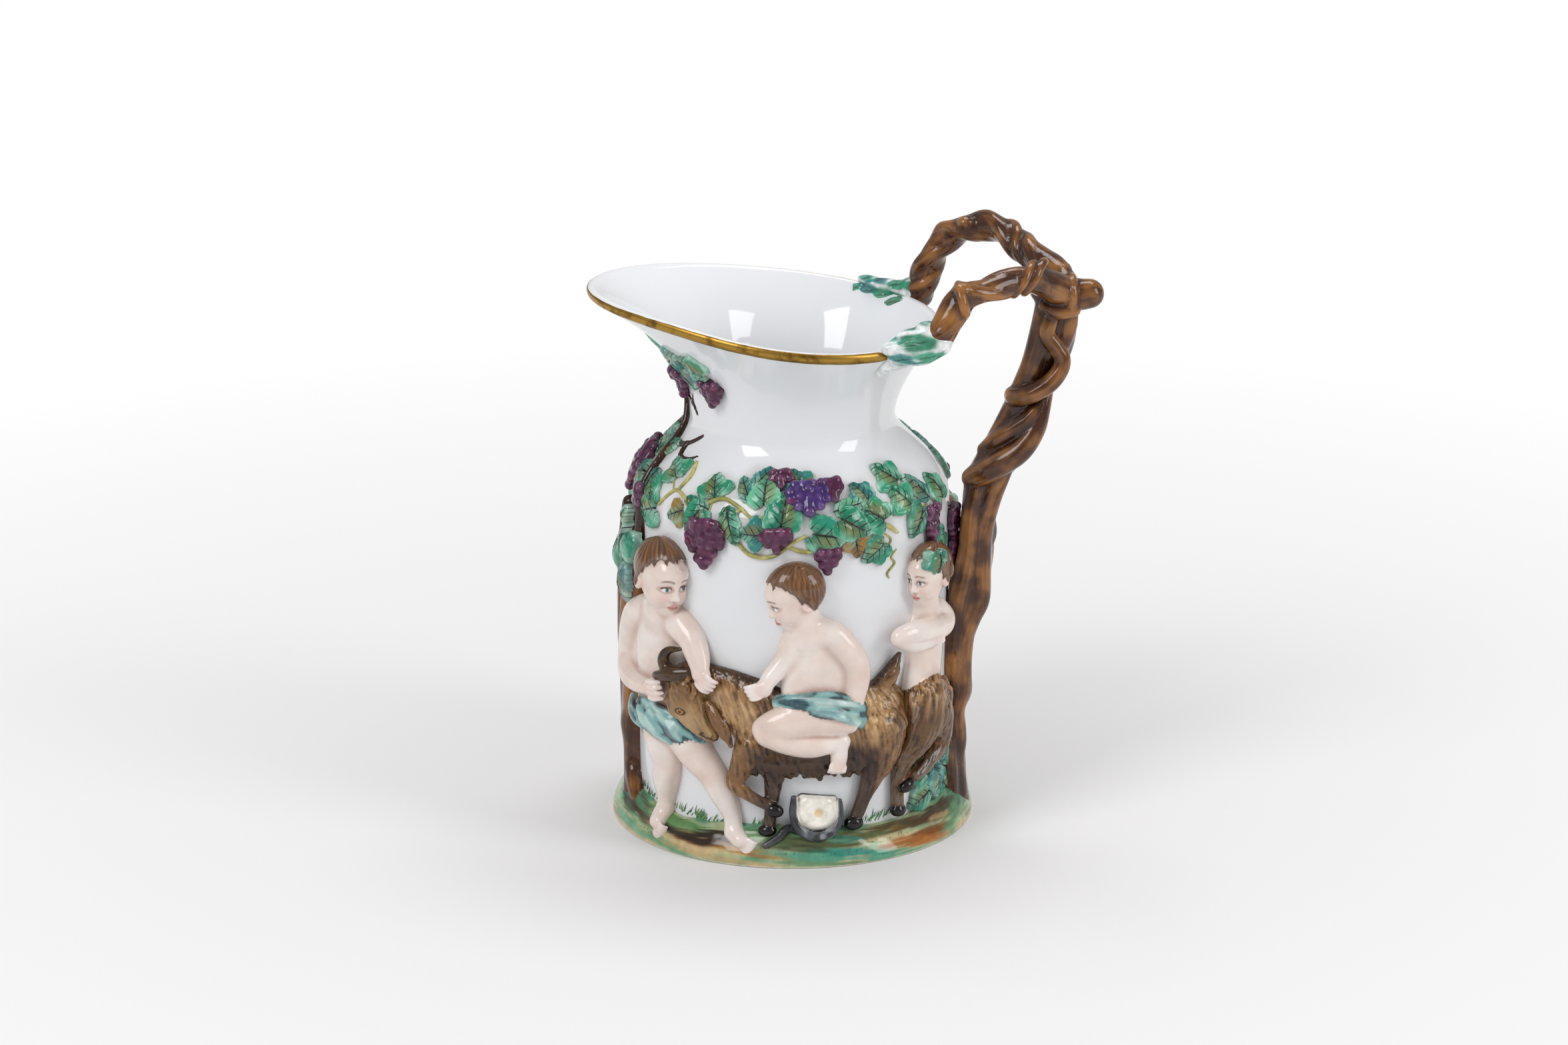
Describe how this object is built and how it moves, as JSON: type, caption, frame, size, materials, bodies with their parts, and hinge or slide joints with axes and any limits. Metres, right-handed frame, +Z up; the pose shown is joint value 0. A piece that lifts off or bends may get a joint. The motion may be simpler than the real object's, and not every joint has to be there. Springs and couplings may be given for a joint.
{
  "type": "porcelain wine jug",
  "caption": "Cylindrical glazed porcelain jug with a flared pouring lip, a forked vine-branch handle and moulded reliefs of vines, children and a goat round the wall.",
  "frame": {"origin": "centre of the flat underside, on the surface that the jug stands on", "axes": "+Z up along the vessel's axis, +X toward the handle, -X toward the spout, -Y toward the face seen first"},
  "size_m": [0.179, 0.13, 0.2144],
  "materials": {
    "porcelain": "gloss",
    "painted_ground": "gloss",
    "bark_brown": "gloss",
    "vine_brown": "gloss",
    "leaf_green": "gloss",
    "grape_purple": "gloss",
    "skin_bisque": "gloss",
    "goat_fur": "gloss",
    "pewter_grey": "gloss",
    "gilt": "polished"
  },
  "bodies": {
    "root": {"jug_body": "porcelain", "ground_strip": "painted_ground", "handle_trunk": "bark_brown", "handle_knot": "bark_brown", "spout_tree": "bark_brown", "handle_branch_front": "bark_brown", "handle_branch_back": "bark_brown", "handle_vine": "vine_brown", "branch_twine_front": "vine_brown", "branch_twine_back": "vine_brown", "spout_leaves": "leaf_green", "rim_spur_front": "leaf_green", "rim_spur_back": "leaf_green", "ivy_plant_front": "leaf_green", "ivy_plant_back": "leaf_green", "garland_by_tree_front": "leaf_green", "garland_by_tree_back": "leaf_green", "garland_left_front": "leaf_green", "garland_left_back": "leaf_green", "garland_middle_front": "leaf_green", "garland_middle_back": "leaf_green", "garland_right_front": "leaf_green", "garland_right_back": "leaf_green", "shoulder_grapes": "grape_purple", "spout_grapes_front": "grape_purple", "spout_grapes_back": "grape_purple", "grapes_hanging_front": "grape_purple", "grapes_hanging_back": "grape_purple", "grapes_middle_front": "grape_purple", "grapes_middle_back": "grape_purple", "grapes_low_front": "grape_purple", "grapes_low_back": "grape_purple", "grapes_under_leaf_front": "grape_purple", "grapes_under_leaf_back": "grape_purple", "grapes_right_front": "grape_purple", "grapes_right_back": "grape_purple", "leader_child_front": "skin_bisque", "leader_child_back": "skin_bisque", "rider_child_front": "skin_bisque", "rider_child_back": "skin_bisque", "faun_child_front": "skin_bisque", "faun_child_back": "skin_bisque", "goat_front": "goat_fur", "goat_back": "goat_fur", "tipped_bowl_front": "pewter_grey", "tipped_bowl_back": "pewter_grey"}
  },
  "joints": []
}
